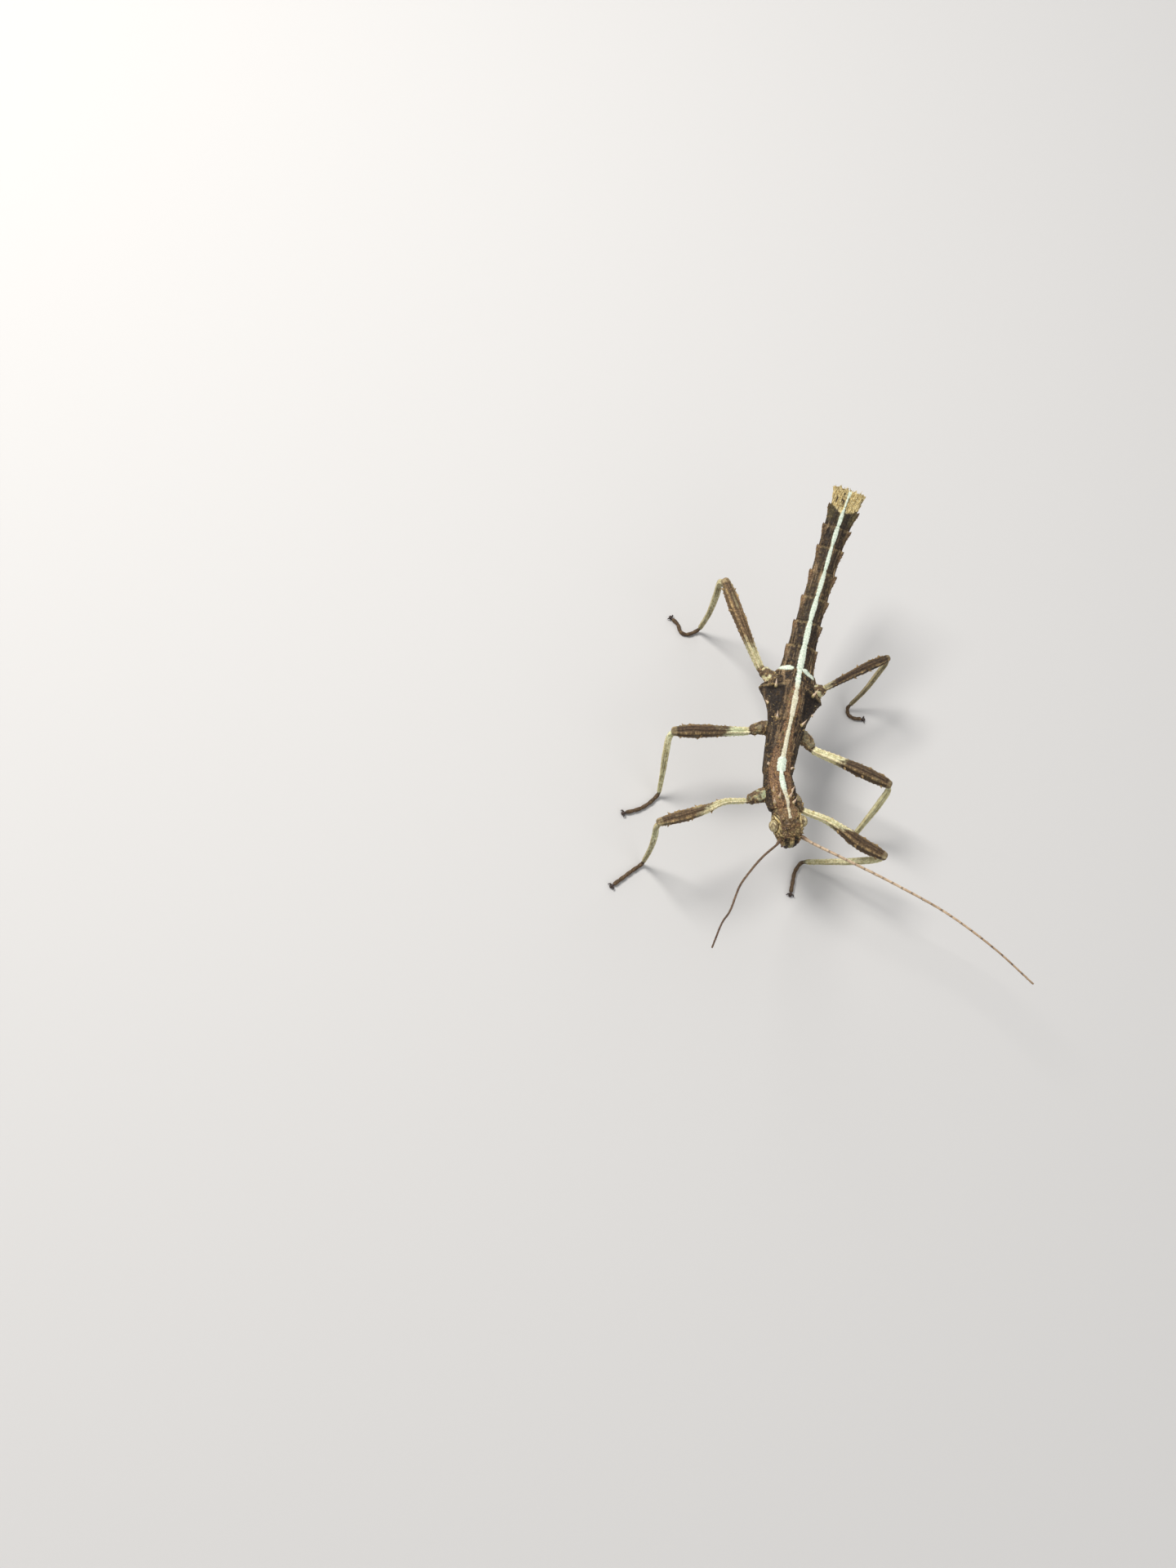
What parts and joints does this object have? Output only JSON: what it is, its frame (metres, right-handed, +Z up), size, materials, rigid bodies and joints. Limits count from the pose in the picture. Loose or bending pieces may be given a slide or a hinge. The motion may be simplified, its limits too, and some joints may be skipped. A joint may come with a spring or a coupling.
{
  "type": "stick insect",
  "caption": "Life-size still model of a spiny brown stick insect with a pale stripe down its back, standing on its feet with its long feelers spread.",
  "frame": {"origin": "middle of the floor box that the whole animal fills, on the surface it stands on", "axes": "+Z up; -Y is the way the thorax faces, +X is the animal's left side"},
  "size_m": [0.0504, 0.0684, 0.0321],
  "materials": {
    "shell": "dull grained chitin, dark brown with a pale stripe along the back",
    "tail": "dull straw-coloured chitin, ragged",
    "eye": "glossy cream with fine dark streaks",
    "mouth": "dark brown, slightly shiny jaws and palps",
    "femur": "dull grained chitin, pale at the hip and dark brown towards the knee",
    "shin": "pale green-cream chitin with thin dark lines along it",
    "foot": "dark brown, finely haired",
    "claw": "blackish brown, shiny",
    "feeler": "pale tan with narrow brown rings"
  },
  "bodies": {
    "root": {"head": "shell", "prothorax": "shell", "mesothorax": "shell", "metathorax": "shell", "median_segment": "shell", "abdomen_2": "shell", "abdomen_3": "shell", "abdomen_4": "shell", "abdomen_5": "shell", "abdomen_6": "shell", "abdomen_7": "shell", "abdomen_8": "shell", "abdomen_9": "tail", "eye_left": "eye", "eye_right": "eye", "mouthparts": "mouth", "antenna_left_scape": "feeler", "antenna_left_1": "feeler", "antenna_left_2": "feeler", "antenna_left_3": "feeler", "antenna_right_scape": "feeler", "antenna_right_1": "feeler", "antenna_right_2": "feeler", "antenna_right_3": "feeler", "leg_front_right_coxa": "shell", "leg_front_right_femur": "femur", "leg_front_right_tibia": "shin", "leg_front_right_tarsus": "foot", "leg_front_right_claws": "claw", "leg_middle_right_coxa": "shell", "leg_middle_right_femur": "femur", "leg_middle_right_tibia": "shin", "leg_middle_right_tarsus": "foot", "leg_middle_right_claws": "claw", "leg_hind_right_coxa": "shell", "leg_hind_right_femur": "femur", "leg_hind_right_tibia": "shin", "leg_hind_right_tarsus": "foot", "leg_hind_right_claws": "claw", "leg_front_left_coxa": "shell", "leg_front_left_femur": "femur", "leg_front_left_tibia": "shin", "leg_front_left_tarsus": "foot", "leg_front_left_claws": "claw", "leg_middle_left_coxa": "shell", "leg_middle_left_femur": "femur", "leg_middle_left_tibia": "shin", "leg_middle_left_tarsus": "foot", "leg_middle_left_claws": "claw", "leg_hind_left_coxa": "shell", "leg_hind_left_femur": "femur", "leg_hind_left_tibia": "shin", "leg_hind_left_tarsus": "foot", "leg_hind_left_claws": "claw"}
  },
  "joints": []
}
